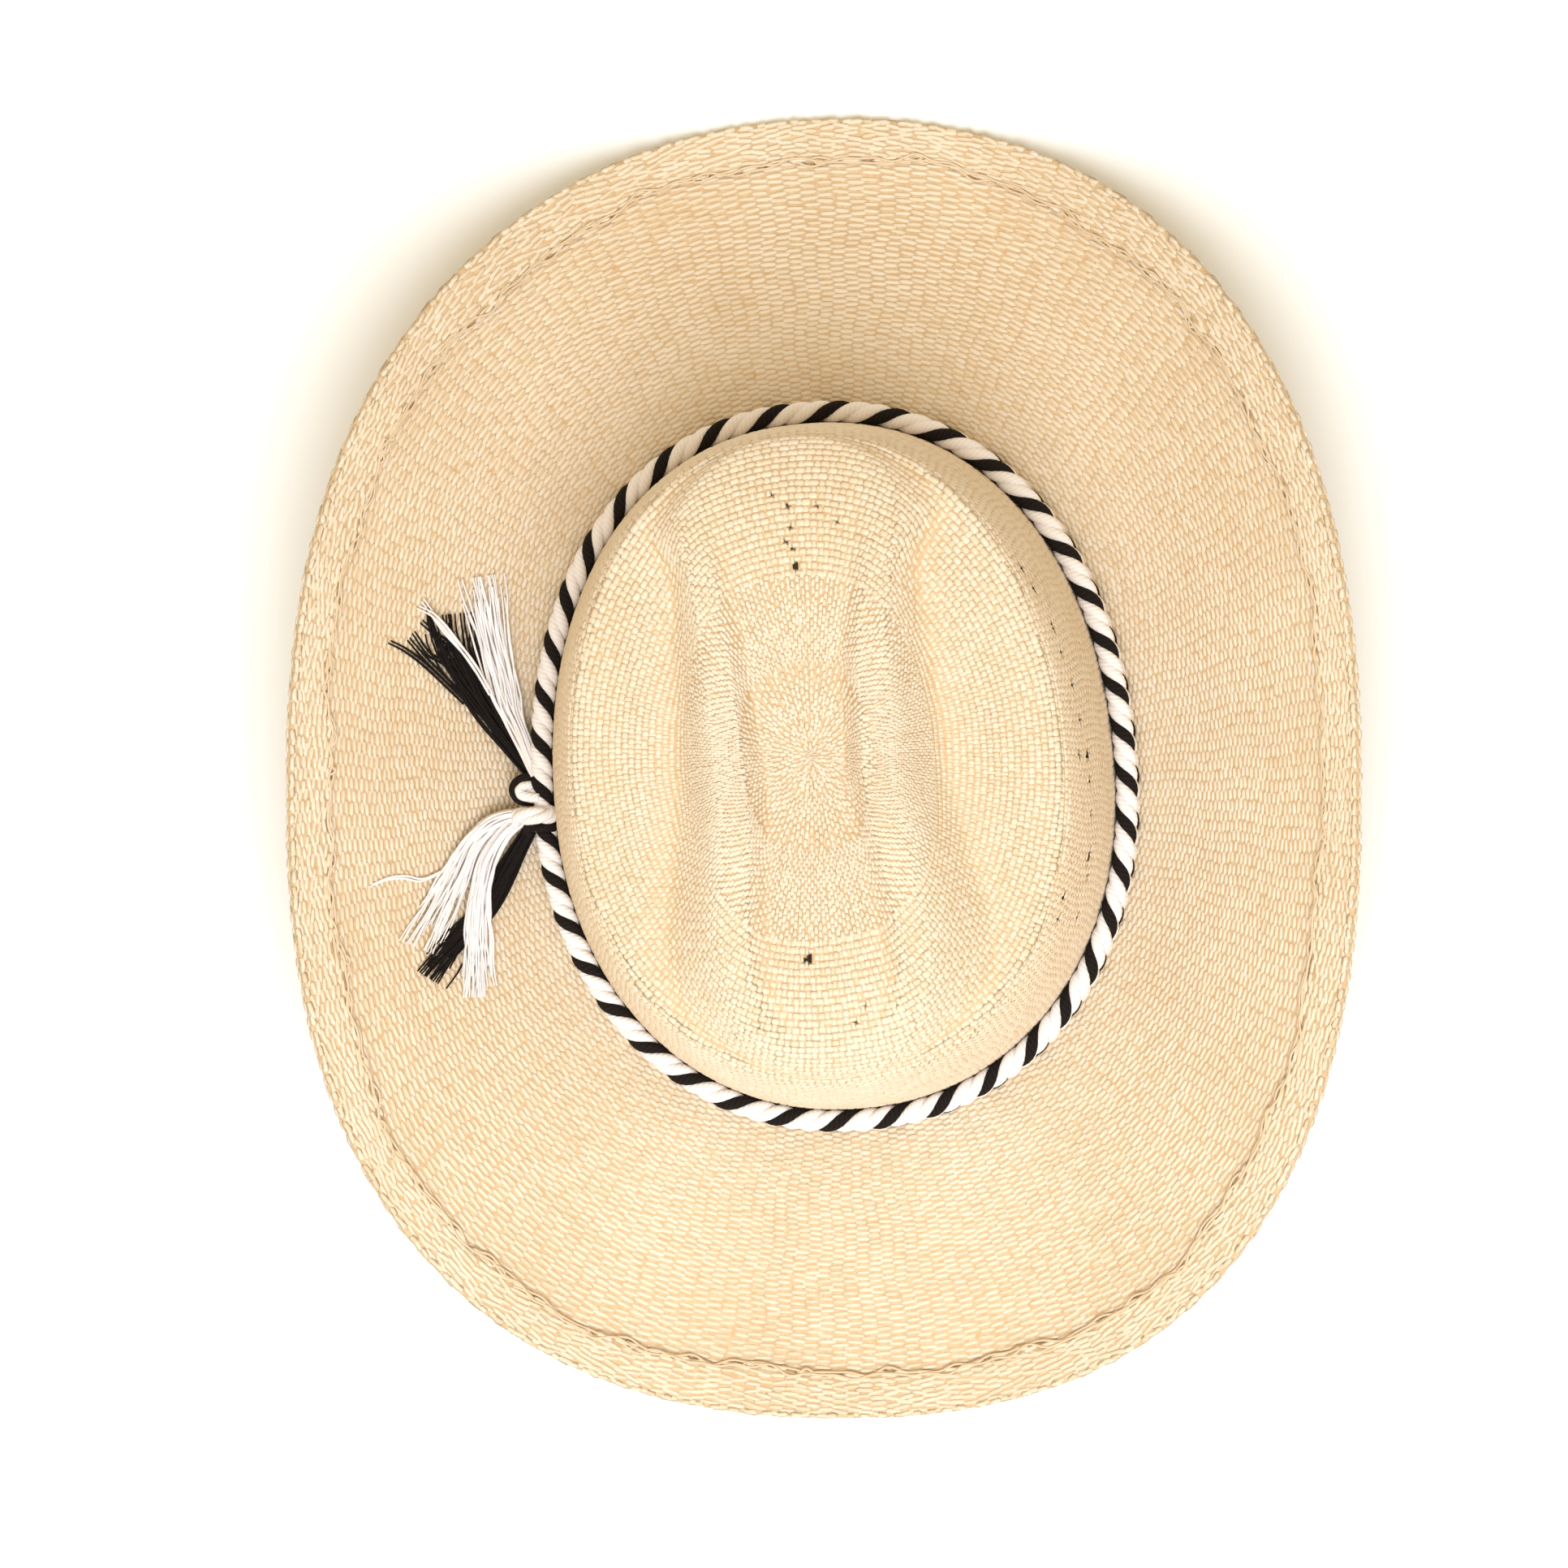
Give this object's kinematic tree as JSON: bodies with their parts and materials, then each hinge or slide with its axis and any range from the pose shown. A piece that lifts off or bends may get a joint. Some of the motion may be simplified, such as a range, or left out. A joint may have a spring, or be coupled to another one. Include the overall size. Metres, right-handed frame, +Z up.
{
  "type": "woven straw cowboy hat",
  "caption": "Woven straw cowboy hat with a creased crown, curled brim with a turned edge, and a doubled black and white twisted cord with fringed ends.",
  "frame": {"origin": "on the surface that the hat rests on, under the middle of its outline", "axes": "+Z up through the crown, -Y towards the front of the hat, +X towards the wearer's left, where the cord is tied"},
  "size_m": [0.3174, 0.4011, 0.1295],
  "materials": {
    "straw": "woven twisted paper straw, natural cream, matt with a faint sheen",
    "cotton_cord": "twisted cotton cord of two white strands and one black, matt",
    "white_cotton": "loose white cotton threads, matt",
    "black_cotton": "loose black cotton threads, matt"
  },
  "bodies": {
    "root": {"woven_body": "straw", "band_cord_lower": "cotton_cord", "band_cord_upper": "cotton_cord", "cord_knot": "cotton_cord", "tassel_front_black": "black_cotton", "tassel_front_white": "white_cotton", "tassel_back_white_outer": "white_cotton", "tassel_back_white_inner": "white_cotton", "tassel_back_black": "black_cotton"}
  },
  "joints": []
}
